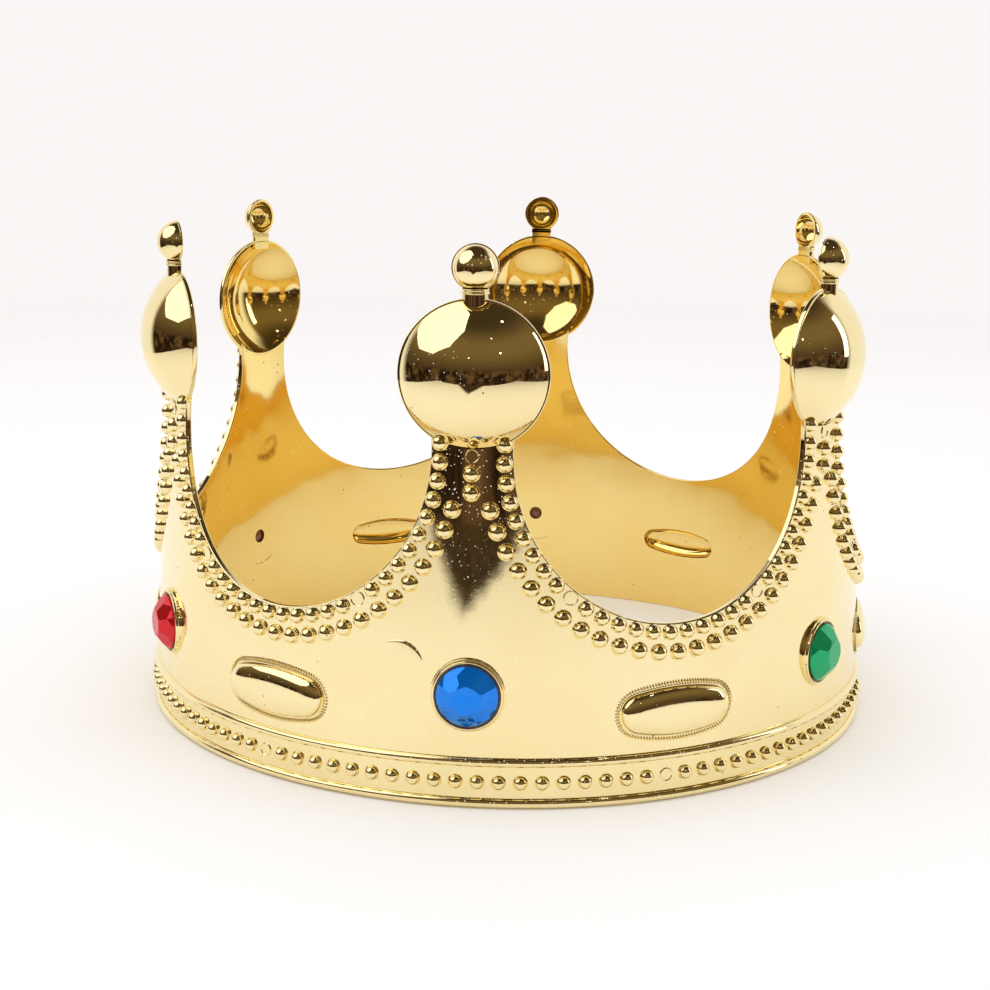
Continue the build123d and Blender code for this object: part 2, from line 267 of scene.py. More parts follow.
class Shader:
    """Small help for writing node trees: each call adds a node and wires its inputs."""

    def __init__(self, tree):
        self.tree = tree

    def add(self, kind, inputs=None, **settings):
        node = self.tree.nodes.new(kind)
        for key, value in settings.items():
            setattr(node, key, value)
        for key, value in (inputs or {}).items():
            socket = node.inputs[key]
            if isinstance(value, bpy.types.NodeSocket):
                self.tree.links.new(value, socket)
            else:
                socket.default_value = value
        return node

    def math(self, operation, a, b=0.0, c=0.0):
        return self.add("ShaderNodeMath", {0: a, 1: b, 2: c}, operation=operation).outputs[0]

    def mix(self, factor, a, b):
        node = self.add("ShaderNodeMix", {"Factor": factor, "A": a, "B": b}, data_type="RGBA")
        return node.outputs["Result"]

    def ramp(self, value, low, high):
        """0 below low, 1 above high, smooth between."""
        node = self.add("ShaderNodeMapRange", {"Value": value, "From Min": low, "From Max": high},
                        interpolation_type="SMOOTHSTEP")
        return node.outputs["Result"]

    def noise(self, vector, scale, detail=2.0, roughness=0.5):
        node = self.add("ShaderNodeTexNoise",
                        {"Vector": vector, "Scale": scale, "Detail": detail, "Roughness": roughness})
        return node.outputs["Fac"]

    def specks(self, vector, scale, size, share):
        """1 on small round specks: of the cells of that scale, this share has one."""
        cells = self.add("ShaderNodeTexVoronoi", {"Vector": vector, "Scale": scale}, feature="F1")
        lot = self.add("ShaderNodeSeparateColor", {"Color": cells.outputs["Color"]}).outputs[0]
        chosen = self.math("GREATER_THAN", lot, 1 - share)
        near = self.math("LESS_THAN", cells.outputs["Distance"], size)
        return self.math("MULTIPLY", chosen, near)


def rgba(r, g, b):
    return (r, g, b, 1.0)


PITS_SHARE, PIT_COLOUR = 0.16, rgba(0.30, 0.19, 0.07)
DUST_COLOUR = rgba(0.80, 0.74, 0.58)
PEEL = 0.0000030                    # depth in metres of the plating's fine orange peel


def gold(name, dust_share, light=(0.955, 0.815, 0.455), deep=(0.935, 0.785, 0.415), roughness=0.045,
         wave=0.00010):
    """Vacuum-metallised plastic under thin yellow lacquer, with dust, pinholes and moulded waviness."""
    material = bpy.data.materials.new(name)
    s = Shader(node_tree(material))
    at = s.add("ShaderNodeTexCoord").outputs["Object"]
    tint = s.mix(s.ramp(s.noise(at, 34.0, 3.0), 0.35, 0.65), rgba(*light), rgba(*deep))
    pits = s.specks(at, 300.0, 0.070, PITS_SHARE)
    colour = s.mix(pits, tint, PIT_COLOUR)
    smear = s.ramp(s.noise(at, 90.0, 5.0, 0.6), 0.5, 0.8)
    rough = s.math("MULTIPLY_ADD", smear, 0.05, roughness)
    rough = s.math("MULTIPLY_ADD", pits, 0.4, rough)
    slow = s.add("ShaderNodeBump", {"Height": s.noise(at, 60.0, 1.0), "Distance": wave, "Strength": 1.0})
    fine = s.add("ShaderNodeBump", {"Height": s.noise(at, 800.0, 2.0), "Distance": PEEL, "Strength": 1.0,
                                    "Normal": slow.outputs["Normal"]})
    metal = s.add("ShaderNodeBsdfPrincipled", {"Base Color": colour, "Roughness": rough, "Metallic": 1.0,
                                               "Normal": fine.outputs["Normal"]})
    dust = s.add("ShaderNodeBsdfDiffuse", {"Color": DUST_COLOUR})
    fine_dust = s.specks(at, 1100.0, 0.17, dust_share)
    coarse_dust = s.specks(at, 560.0, 0.11, dust_share * 0.6)
    where = s.math("MAXIMUM", fine_dust, coarse_dust)
    patchy = s.math("MULTIPLY", where, s.ramp(s.noise(at, 40.0, 2.0), 0.36, 0.58))
    both = s.add("ShaderNodeMixShader", {0: patchy, 1: metal.outputs[0], 2: dust.outputs[0]})
    s.add("ShaderNodeOutputMaterial", {"Surface": both.outputs[0]})
    return material


PAINT_SHARE = 0.28                  # of the stones' facets, the rest of which is tinted mirror
CLEAR_SHARE = 0.15                  # of the stones that light really passes through
FOIL_PAINT_SHARE = 0.22


def acrylic(name, colour, shine):
    """A stone's front: mostly tinted mirror and paint in its colour, with a small share of clear acrylic."""
    material = bpy.data.materials.new(name)
    s = Shader(node_tree(material))
    at = s.add("ShaderNodeTexCoord").outputs["Object"]
    rough = s.math("MULTIPLY_ADD", s.ramp(s.noise(at, 420.0, 3.0), 0.5, 0.8), 0.06, 0.01)
    tint = s.mix(s.specks(at, 700.0, 0.07, 0.2), rgba(*colour), rgba(*[0.6 * c for c in colour]))
    body = s.add("ShaderNodeBsdfPrincipled", {"Base Color": tint, "Roughness": rough, "IOR": 1.49,
                                              "Transmission Weight": 1.0})
    path = s.add("ShaderNodeLightPath")
    through = s.math("MAXIMUM", path.outputs["Is Shadow Ray"], path.outputs["Is Diffuse Ray"])
    flash = s.add("ShaderNodeBsdfPrincipled", {"Base Color": rgba(*shine), "Roughness": rough,
                                               "Metallic": 1.0, "Coat Weight": 0.5})
    paint = s.add("ShaderNodeBsdfDiffuse", {"Color": rgba(*shine)})
    front = s.add("ShaderNodeMixShader", {0: PAINT_SHARE, 1: flash.outputs[0], 2: paint.outputs[0]})
    solid = s.add("ShaderNodeMixShader", {0: CLEAR_SHARE, 1: front.outputs[0], 2: body.outputs[0]})
    clear = s.add("ShaderNodeBsdfTransparent", {"Color": tint})
    both = s.add("ShaderNodeMixShader", {0: through, 1: solid.outputs[0], 2: clear.outputs[0]})
    s.add("ShaderNodeOutputMaterial", {"Surface": both.outputs[0]})
    return material


def foil_face(name, colour):
    """The mirrored back of a stone, seen through it."""
    material = bpy.data.materials.new(name)
    s = Shader(node_tree(material))
    at = s.add("ShaderNodeTexCoord").outputs["Object"]
    tint = s.mix(s.ramp(s.noise(at, 500.0, 2.0), 0.3, 0.7), rgba(*colour), rgba(*[0.85 * c for c in colour]))
    crinkle = s.add("ShaderNodeBump", {"Height": s.noise(at, 350.0, 2.0), "Distance": 0.00002,
                                       "Strength": 1.0})
    mirror = s.add("ShaderNodeBsdfPrincipled", {"Base Color": tint, "Roughness": 0.10, "Metallic": 1.0,
                                                "Normal": crinkle.outputs["Normal"]})
    paint = s.add("ShaderNodeBsdfDiffuse", {"Color": tint})
    both = s.add("ShaderNodeMixShader", {0: FOIL_PAINT_SHARE, 1: mirror.outputs[0], 2: paint.outputs[0]})
    s.add("ShaderNodeOutputMaterial", {"Surface": both.outputs[0]})
    return material


def lacquer(name):
    """Brown lacquer painted over the foil, glossy and a little uneven."""
    material = bpy.data.materials.new(name)
    s = Shader(node_tree(material))
    at = s.add("ShaderNodeTexCoord").outputs["Object"]
    tint = s.mix(s.noise(at, 600.0, 3.0), rgba(0.20, 0.055, 0.022), rgba(0.11, 0.030, 0.014))
    bump = s.add("ShaderNodeBump", {"Height": s.noise(at, 700.0, 2.0), "Distance": 0.00003, "Strength": 1.0})
    body = s.add("ShaderNodeBsdfPrincipled", {"Base Color": tint, "Roughness": 0.22, "Coat Weight": 0.6,
                                              "Coat Roughness": 0.08, "Normal": bump.outputs["Normal"]})
    s.add("ShaderNodeOutputMaterial", {"Surface": body.outputs[0]})
    return material


def clear_glue(name):
    material = bpy.data.materials.new(name)
    s = Shader(node_tree(material))
    at = s.add("ShaderNodeTexCoord").outputs["Object"]
    cloud = s.noise(at, 800.0, 3.0)
    tint = s.mix(cloud, rgba(0.16, 0.10, 0.05), rgba(0.34, 0.25, 0.14))
    bump = s.add("ShaderNodeBump", {"Height": cloud, "Distance": 0.00015, "Strength": 1.0})
    body = s.add("ShaderNodeBsdfPrincipled", {"Base Color": tint, "Roughness": 0.15, "IOR": 1.47,
                                              "Transmission Weight": 0.7, "Normal": bump.outputs["Normal"]})
    s.add("ShaderNodeOutputMaterial", {"Surface": body.outputs[0]})
    return material


gold_outside = gold("gold_outside", dust_share=0.75)
gold_inside = gold("gold_inside", light=(0.970, 0.765, 0.31), deep=(0.960, 0.735, 0.27), roughness=0.07,
                   wave=0.00020, dust_share=0.15)
gold_ornament = gold("gold_ornament", roughness=0.03, dust_share=0.25, wave=0.00003)
gold_bead = gold("gold_bead", roughness=0.03, dust_share=0.1, wave=0.0)

# ---------------------------------------------------------------- the wall

HALF_PITCH = FOOT_RADIUS * pi / TINES           # half a tine's share of the wall, unrolled at the foot


def gap_edge(angle, outset):
    """Unrolled (x, z) on a gap's edge, seen from the tine's middle; angle 0 is the gap's lowest point."""
    z = GAP_CENTRE_Z - (GAP_DEPTH + outset) * np.cos(angle)
    x = HALF_PITCH - (GAP_DEPTH + outset) * np.sin(angle) * FOOT_RADIUS / wall_radius(z)
    return np.stack([x, z], -1)


def seat_angle(outset):
    """Where the gap's edge meets the circle that the medallion sits on."""
    angles = np.linspace(pi / 3, 2 * pi / 3, 4000)
    x, z = gap_edge(angles, outset).T
    return angles[np.argmin(np.abs(np.hypot(x, z - DISC_Z) - SEAT_RADIUS))]


def tine_outline(outset, notch):
    """Closed unrolled outline of one tine's share of the wall, with half a boss cut out of each side."""
    loop = boss_oval(notch, 96)
    left = loop[loop[:, 0] < -1e-6]
    left = left[np.argsort(left[:, 1])] + (HALF_PITCH, BOSS_Z)
    half_height = BOSS_HEIGHT / 2 + notch
    bottom = np.stack([np.linspace(0, HALF_PITCH, 31), np.full(31, outset)], -1)
    below = np.stack([np.full(8, HALF_PITCH), np.linspace(outset, BOSS_Z - half_height, 9)[1:]], -1)
    gap_bottom = GAP_CENTRE_Z - GAP_DEPTH - outset
    above = np.stack([np.full(8, HALF_PITCH), np.linspace(BOSS_Z + half_height, gap_bottom, 9)[:-1]], -1)
    side = gap_edge(np.linspace(0, seat_angle(outset), 60), outset)
    corner = side[-1] - (0, DISC_Z)
    turn = atan2(corner[0], -corner[1])
    turns = np.linspace(turn, 0, 16)
    seat = np.stack([SEAT_RADIUS * np.sin(turns), DISC_Z - SEAT_RADIUS * np.cos(turns)], -1)[1:]
    right = np.concatenate([bottom, below, left, above, side, seat])
    mirrored = (right * (-1, 1))[::-1][1:-1]
    return np.concatenate([right, mirrored])


SPACING = 1.8                       # between the points inside the wall's sheets


def tine_sheet(outset, notch, hole):
    """Triangles over that outline, with a round hole at the cup: unrolled points and faces."""
    outline = tine_outline(outset, notch)
    t = np.linspace(0, 2 * pi, 48, endpoint=False)
    ring = np.stack([hole * np.cos(t), CUP_Z + hole * np.sin(t)], -1)
    xs = np.arange(-HALF_PITCH + SPACING / 2, HALF_PITCH, SPACING)
    zs = np.arange(SPACING, DISC_Z, SPACING * 0.86)
    inside = np.array([(x + (i % 2) * SPACING / 2, z) for i, z in enumerate(zs) for x in xs])
    border = np.concatenate([outline, ring])
    far = np.min(np.linalg.norm(inside[:, None] - border[None], axis=2), axis=1) > SPACING * 0.45
    inside = inside[far & (np.abs(inside[:, 0]) < HALF_PITCH - SPACING * 0.3)]
    points = np.concatenate([border, inside])
    n, m = len(outline), len(ring)
    edges = [(n + i, n + (i + 1) % m) for i in range(m)]
    made = delaunay_2d_cdt([Vector(p) for p in points.tolist()], edges, [list(range(n))], 1, 1e-5)
    flat, faces = np.array([tuple(v) for v in made[0]]), np.array([f for f in made[2]])
    middle = flat[faces].mean(1)
    keep = np.hypot(middle[:, 0], middle[:, 1] - CUP_Z) > hole * 0.98
    return flat, faces[keep]


def wall_parts():
    """The wall's points, faces and normals: two sheets, with rounded edges between them."""
    parts, normals = [], []

    def add(points, faces, normal):
        normal = normal / np.linalg.norm(normal, axis=1, keepdims=True)
        parts.append((points, facing_along(points, faces, normal)))
        normals.append(normal)

    def out_of(azimuth):
        return on_ring(azimuth, 1.0, DRAFT)

    outer, outer_faces = tine_sheet(EDGE_ROUND, -BOSS_LAP, CUP_BORE + CUP_LAP)
    inner, inner_faces = tine_sheet(EDGE_ROUND, -RECESS_INSET, CUP_HOLE)
    bend = np.radians(np.linspace(0, 90, 5))
    outset = np.concatenate([EDGE_ROUND * (1 - np.sin(bend)), EDGE_ROUND * (1 - np.cos(bend))])
    depth = np.concatenate([EDGE_ROUND * (1 - np.cos(bend)), WALL - EDGE_ROUND * (1 - np.sin(bend))])
    lean = np.concatenate([bend, bend + pi / 2])
    for tine in range(TINES):
        middle = PITCH * tine
        for flat, faces, sink, sign in ((outer, outer_faces, 0, 1), (inner, inner_faces, WALL, -1)):
            azimuth = middle + np.degrees(flat[:, 0] / FOOT_RADIUS)
            points = on_ring(azimuth, wall_radius(flat[:, 1]) - sink, flat[:, 1])
            add(points, faces, sign * out_of(azimuth))
        for side in (-1, 1):
            angle = np.linspace(0, seat_angle(EDGE_ROUND) + 0.02, 110)
            edge = np.array([gap_edge(angle, o) for o in outset])
            azimuth = middle + side * np.degrees(edge[..., 0] / FOOT_RADIUS)
            points = on_ring(azimuth, wall_radius(edge[..., 1]) - depth[:, None], edge[..., 1])
            into_gap = np.stack([np.cos(np.radians(azimuth)) * side * np.sin(angle),
                                 np.sin(np.radians(azimuth)) * side * np.sin(angle),
                                 np.cos(angle) + 0 * azimuth], -1)
            normal = np.cos(lean)[:, None, None] * out_of(azimuth) + np.sin(lean)[:, None, None] * into_gap
            flat_points, faces = grid(points)
            add(flat_points, faces, normal.reshape(-1, 3))
    turn = np.linspace(0, 360, 720, endpoint=False)
    azimuth = np.broadcast_to(turn, (len(outset), len(turn)))
    points = on_ring(azimuth, wall_radius(outset)[:, None] - depth[:, None], outset[:, None])
    upward = np.array([0, 0, 1.0])
    normal = np.cos(lean)[:, None, None] * out_of(azimuth) - np.sin(lean)[:, None, None] * upward
    flat_points, faces = grid(points, closed=True)
    add(flat_points, faces, normal.reshape(-1, 3))
    return parts, normals


parts, normals = wall_parts()
wall = add_piece("crown_wall", parts, gold_outside, normals=normals)
plate_inside(wall)
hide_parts("crown_shell")

# Ridges above and below the foot's row of beads
turn = np.linspace(0, 360, 900, endpoint=False)
ridge_parts = []
for z in RIDGES_Z:
    profile = arc((wall_radius(z), z), RIDGE_RADIUS, -86, 90, 15)
    sunk = wall_radius(z) - RIDGE_SINK
    profile = np.concatenate([[(sunk, profile[0, 1])], profile, [(sunk, profile[-1, 1])]])
    ridge_parts.append(grid(on_ring(turn[None, :], profile[:, :1], profile[:, 1:]), closed=True))
add_piece("foot_ridges", ridge_parts, gold_outside)

# ---------------------------------------------------------------- medallions, stems and finials


def hollow_dome(lip_radius, foot, bulge, lip, skin, steps):
    """Closed profile of a hollow dome with a flat rounded lip, as (distance from the axis, radius)."""
    outside = (foot * foot + bulge * bulge) / (2 * bulge)
    centre, inside, front = LIP_BACK + lip + bulge - outside, outside - skin, LIP_BACK + lip
    foot_angle = degrees(atan2(foot, front - centre))
    mouth = sqrt(inside**2 - (LIP_BACK - centre) ** 2)
    mouth_angle = degrees(atan2(mouth, LIP_BACK - centre))
    front_arc = arc((centre, 0), outside, 0, foot_angle, steps)
    back_arc = arc((centre, 0), inside, mouth_angle, 0, steps)
    lip_line = rounded([front_arc[-1], (front, lip_radius), (LIP_BACK, lip_radius), back_arc[0]], 0.3)
    return np.concatenate([front_arc, lip_line[1:-1], back_arc])


disc_profile = hollow_dome(DISC_RADIUS, DISC_DOME, DISC_BULGE, DISC_LIP, DISC_SKIN, 40)
ball_profile = hollow_dome(BALL_RADIUS, BALL_DOME, BALL_BULGE, BALL_LIP, BALL_SKIN, 28)


def half_round(azimuth, z_low, z_high, radius, bulge=0.0, rows=2):
    """A half-round upright band with a flat back; bulge rounds its outside."""
    t = np.radians(np.linspace(-90, 90, 33))
    levels = np.linspace(z_low, z_high, rows)
    swell = bulge * np.sqrt(np.maximum(0, 1 - np.linspace(-1, 1, rows) ** 2))
    rings = [facing(azimuth, LIP_BACK, z, (radius + more) * np.sin(t), 0 * t, (radius + more) * np.cos(t))
             for z, more in zip(levels, swell)]
    return grid(np.array(rings), closed=True)


discs, balls, stems = [], [], []
neck_low, neck_high = DISC_Z + DISC_DOME - STEM_IN_DISC, BALL_Z - BALL_DOME + STEM_IN_BALL
ball_foot = BALL_Z - BALL_RADIUS
for tine in range(TINES):
    azimuth = PITCH * tine
    discs.append(turned(azimuth, DISC_Z, disc_profile, 160))
    balls.append(turned(azimuth, BALL_Z, ball_profile, 96))
    stems.append(half_round(azimuth, neck_low, neck_high, STEM_RADIUS))
    for low, high, bulge in COLLARS:
        stems.append(half_round(azimuth, ball_foot + low, ball_foot + high, STEM_RADIUS, bulge=bulge, rows=9))
for name, solids in (("medallions", discs), ("finials", balls), ("stems", stems)):
    plate_inside(add_piece(name, solids, gold_ornament))

# ---------------------------------------------------------------- cups

cup_top = CUP_FLOOR + CUP_HEIGHT
cup_profile = np.concatenate([
    [(CUP_FLOOR - CUP_SINK, CUP_RADIUS)],
    arc((cup_top - STEP_DROP, CUP_RADIUS - STEP_ROUND), STEP_ROUND, 90, -60, 9),
    arc((cup_top - RIM_ROUND, CUP_BORE + RIM_ROUND), RIM_ROUND, 90, -90, 13),
    [(CUP_FLOOR, CUP_BORE), (CUP_FLOOR, CUP_HOLE + HOLE_CHAMFER), (CUP_FLOOR - HOLE_CHAMFER, CUP_HOLE),
     (wall_radius(CUP_Z) - WALL - 0.01, CUP_HOLE)],
])
add_piece("stone_cups", [turned(PITCH * tine, CUP_Z, cup_profile, 144) for tine in range(TINES)],
          gold_ornament, sharp_angle=50)

# ---------------------------------------------------------------- bosses


def swept_oval(azimuth, rings):
    """Loops of (unrolled outline about the boss's middle, height proud of the wall), joined in order."""
    return grid(np.array([on_wall(azimuth, loop[:, 0], BOSS_Z + loop[:, 1], proud) for loop, proud in rings]),
                closed=True)


def loaf(outline, length, height, profile):
    """Rings that shrink from an outline to its long middle line; profile gives (share left, proud)."""
    spine = (length - height) / length
    rings = []
    for share, proud in profile:
        ring = outline * share
        ring[:, 0] = outline[:, 0] * (share + (1 - share) * spine)
        rings.append((ring, proud))
    return rings


def swelling(foot, height, square):
    """(Share left, proud) down a loaf's side, from its foot to its flat-topped middle line."""
    rise = np.radians(np.linspace(0, 90, 18))
    return [(cos(t) ** square if t < rise[-1] else 0.0, foot + height * sin(t) ** SWELL) for t in rise]


boss_parts, cord_parts, recess_parts = [], [], []
outline = boss_oval(0, SIDES)
dome = swelling(BOSS_FOOT, BOSS_PROUD - BOSS_FOOT, BOSS_SQUARE)
base = [(boss_oval(outset, SIDES), proud) for outset, proud in BOSS_BASE]
mouth = boss_oval(-RECESS_INSET, SIDES)
bowl = swelling(-WALL, WALL + BOSS_PROUD - RECESS_SKIN, RECESS_SQUARE)
mouth_length, mouth_height = BOSS_LENGTH - 2 * RECESS_INSET, BOSS_HEIGHT - 2 * RECESS_INSET

cord_line = boss_oval(CORD_OUTSET - CORD_WIDTH / 2, CORD_POINTS)
cord_step = np.roll(cord_line, -1, 0) - np.roll(cord_line, 1, 0)
cord_side = np.stack([cord_step[:, 1], -cord_step[:, 0]], -1)
cord_out = cord_side / np.linalg.norm(cord_step, axis=1, keepdims=True)
cord_run = np.concatenate([[0], np.cumsum(np.linalg.norm(np.diff(cord_line, axis=0), axis=1))])
cord_length = cord_run[-1] + np.linalg.norm(cord_line[0] - cord_line[-1])
turns = round(cord_length / CORD_PITCH)

for gap in range(TINES):
    azimuth = PITCH * (gap + 0.5)
    boss_parts.append(swept_oval(azimuth, base + loaf(outline, BOSS_LENGTH, BOSS_HEIGHT, dome)))
    recess_parts.append(swept_oval(azimuth, [(boss_oval(-RECESS_INSET + 0.01, SIDES), -WALL)]
                                   + loaf(mouth, mouth_length, mouth_height, bowl)))
    loops = []
    for t in np.linspace(CORD_FROM, CORD_TO, CORD_ROWS):
        twist = np.cos(2 * pi * (turns * cord_run / cord_length) - radians(t) * CORD_LEAN)
        radius = CORD_WIDTH / 2 * (1 - CORD_RIB + CORD_RIB * twist)
        offset = -radius * cos(radians(t))
        height = radius * sin(radians(t)) * CORD_PROUD / (CORD_WIDTH / 2)
        ring = cord_line + cord_out * offset[:, None]
        loops.append(on_wall(azimuth, ring[:, 0], BOSS_Z + ring[:, 1], height))
    cord_parts.append(grid(np.array(loops), closed=True))
add_piece("bosses", boss_parts, gold_ornament)
add_piece("boss_cords", cord_parts, gold_ornament, sharp_angle=80)
add_piece("boss_recesses", recess_parts, gold_inside, sharp_angle=60)

# A shallow crescent left by the mould, beside the front stone
mark_t = np.linspace(0, 1, 48)
mark_from, mark_bend, mark_to = (np.array(spot)[:, None] for spot in (MARK_FROM, MARK_BEND, MARK_TO))
mark_line = (1 - mark_t)**2 * mark_from + 2 * mark_t * (1 - mark_t) * mark_bend + mark_t**2 * mark_to
mark_step = np.gradient(mark_line, axis=1)
mark_side = np.stack([-mark_step[1], mark_step[0]]) / np.linalg.norm(mark_step, axis=0)
mark_width = MARK_THIN + MARK_WIDE * np.sin(pi * mark_t) * (0.35 + 0.65 * mark_t)
mark_rows = []
for u in np.linspace(-1, 1, 9):
    across, up = mark_line + mark_side * mark_width * u
    mark_rows.append(on_wall(0.0, across, up, MARK_PROUD * (1 - u * u) * mark_width - MARK_SINK))
add_piece("mould_mark", [grid(np.array(mark_rows))], gold_outside, sharp_angle=80)

# ---------------------------------------------------------------- beads


def studs(spots, profile):
    """Copies of a turned profile of (proud, radius) points, standing on the wall at (azimuth, z) spots."""
    t = np.linspace(0, 2 * pi, 28, endpoint=False)
    radius, proud = profile[:, 1][:, None], profile[:, 0][:, None]
    across, up, out = radius * np.cos(t), radius * np.sin(t), proud + 0 * t
    parts = []
    for azimuth, z in spots:
        a, r = radians(azimuth), wall_radius(z)
        normal = np.array([sin(a), -cos(a), DRAFT]) / sqrt(1 + DRAFT**2)
        tangent = np.array([cos(a), sin(a), 0])
        upward = np.cross(normal, tangent)
        origin = np.array([r * sin(a), -r * cos(a), z])
        points = origin + across[..., None] * tangent + up[..., None] * upward + out[..., None] * normal
        parts.append(grid(points, closed=True))
    return parts


def bead(size):
    half = size / 2
    dome = arc((0, 0), half, 0, 82, 12)
    return np.concatenate([dome, [(0.12, half * 1.01), (0.03, half * 1.06), (-0.4, half * 1.07)]])


def blank(size):
    """A flat disc with a fine raised outline, where an ejector pin pushed."""
    half = size / 2
    return np.array([(0.06, 0), (0.06, half * 0.80), (0.20, half * 0.86), (0.24, half * 0.91),
                     (0.20, half * 0.96), (-0.3, half)])


def around_gap(gap, outset, angle):
    reach = GAP_DEPTH + outset
    z = GAP_CENTRE_Z - reach * cos(radians(angle))
    return PITCH * (gap + 0.5) + degrees(reach * sin(radians(angle)) / wall_radius(z)), z


def row(gap, count, step, outset):
    return [around_gap(gap, outset, (i - (count - 1) / 2) * step) for i in range(count)]


rim_spots = [(RIM_BEAD_PHASE + 360 / RIM_BEADS * k, RIM_BEAD_Z) for k in range(RIM_BEADS)]
rim_blanks = rim_spots[RIM_FIRST_BLANK::RIM_BEADS // TINES]
inner_rows = [row(gap, INNER_ROW, INNER_ROW_STEP, INNER_ROW_OUTSET) for gap in range(TINES)]
inner_blanks = [spots[i] for spots in inner_rows for i in INNER_BLANKS]
outer_spots = [spot for gap in range(TINES) for spot in row(gap, OUTER_ROW, OUTER_ROW_STEP, OUTER_ROW_OUTSET)]
neck_spots = [(PITCH * tine, z) for tine in range(TINES) for z in NECK_BEAD_Z]
neck_blanks = [(PITCH * tine, NECK_BLANK_Z) for tine in range(TINES)]


def without(spots, taken):
    return [spot for spot in spots if spot not in taken]


bead_rows = {
    "rim_beads": (without(rim_spots, rim_blanks), RIM_BEAD_SIZE, rim_blanks, RIM_BEAD_SIZE),
    "inner_row_beads": (without(sum(inner_rows, []), inner_blanks), INNER_ROW_SIZE,
                        inner_blanks, INNER_ROW_SIZE),
    "outer_row_beads": (outer_spots, OUTER_ROW_SIZE, [], OUTER_ROW_SIZE),
    "neck_beads": (neck_spots, NECK_BEAD_SIZE, neck_blanks, NECK_BLANK_SIZE),
}
for node, (spots, size, blanks, blank_size) in bead_rows.items():
    piece = add_piece(node + "_shown", studs(spots, bead(size)) + studs(blanks, blank(blank_size)),
                      gold_bead)
    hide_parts(node)

# ---------------------------------------------------------------- stones

ACRYLIC = {"blue": (0.05, 0.56, 0.97), "green": (0.11, 0.66, 0.43), "red": (0.84, 0.13, 0.15)}
FOIL = {"blue": (0.50, 0.85, 1.00), "green": (0.60, 0.96, 0.75), "red": (0.98, 0.50, 0.52)}
SHINE = {"blue": (0.0, 0.225, 0.88), "green": (0.008, 0.40, 0.15), "red": (0.66, 0.010, 0.018)}
acrylics = {c: acrylic("acrylic_" + c, v, SHINE[c]) for c, v in ACRYLIC.items()}
foils = {c: foil_face("foil_" + c, v) for c, v in FOIL.items()}
FOIL_GAP = 0.04 * MM                # keeps a stone's mirrored back clear of the foil's own inner face
back_lacquer = lacquer("back_lacquer")
glue = clear_glue("clear_glue")

# Drops of lacquer that bulge into the holes behind the stones
DROP_RADIUS, DROP_BULGE = 2.0, 0.75
drop_sphere = (DROP_RADIUS**2 + DROP_BULGE**2) / (2 * DROP_BULGE)
drop_edge = degrees(atan2(DROP_RADIUS, drop_sphere - DROP_BULGE))
drop = arc((CUP_FLOOR - DROP_BULGE + drop_sphere, 0), drop_sphere, 180, 180 - drop_edge, 14)
add_piece("lacquer_drops", [turned(PITCH * tine, CUP_Z, drop, 48) for tine in range(TINES)],
          back_lacquer, sharp_angle=80)

for tine, (side, colour) in enumerate(STONES.items()):
    bm = bmesh.new()
    bm.from_mesh(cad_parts["stone_" + side].data)
    bmesh.ops.remove_doubles(bm, verts=bm.verts, dist=1e-6)
    bmesh.ops.dissolve_limit(bm, angle_limit=radians(1.0), verts=bm.verts, edges=bm.edges)
    bm.normal_update()
    outward = Vector(on_ring(PITCH * tine, 1.0, 0.0))
    backs = [face.normal.dot(outward) < -0.1 for face in bm.faces]
    bm.verts.index_update()
    cut = bpy.data.meshes.new("stone_" + side + "_cut")
    cut.from_pydata([vertex.co + outward * FOIL_GAP for vertex in bm.verts], [],
                    [[vertex.index for vertex in face.verts] for face in bm.faces])
    bm.free()
    cut.shade_flat()
    stone = bpy.data.objects.new(cut.name, cut)
    bpy.context.scene.collection.objects.link(stone)
    stone.data.materials.append(acrylics[colour])
    stone.data.materials.append(foils[colour])
    cut.polygons.foreach_set("material_index", [int(back) for back in backs])
    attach(stone, "root")
    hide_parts("stone_" + side)
    for kind, material in (("foil_", back_lacquer), ("glue_", glue)):
        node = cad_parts[kind + side]
        node.data.materials.clear()
        node.data.materials.append(material)

# ---------------------------------------------------------------- the studio

scene = bpy.context.scene
scene.view_settings.view_transform = "Standard"

CAMERA_AT = (0.04626, -0.50190, 0.16409)
CAMERA_YAW, CAMERA_PITCH, CAMERA_ROLL = 5.733, 12.359, 1.0145      # degrees
CAMERA_LENS, SENSOR = 67.4, 36.0                                   # mm
camera_data = bpy.data.cameras.new("camera")
camera_data.lens, camera_data.sensor_width = CAMERA_LENS, SENSOR
camera_data.clip_start, camera_data.clip_end = 0.01, 30
camera = bpy.data.objects.new("camera", camera_data)
scene.collection.objects.link(camera)
camera.matrix_world = (Matrix.Translation(CAMERA_AT) @ Matrix.Rotation(radians(CAMERA_YAW), 4, "Z")
                       @ Matrix.Rotation(radians(90 - CAMERA_PITCH), 4, "X")
                       @ Matrix.Rotation(radians(CAMERA_ROLL), 4, "Z"))
scene.camera = camera

TABLE_EDGE = -0.48                  # the white table ends this far in front of the crown's axis
TABLE_LEFT, TABLE_RIGHT = -0.42, 0.52
FLOOR_REACH = 2.2
FADE_FROM, FADE_TO = 0.14, 1.1      # distances from the crown's axis over which the board fades out


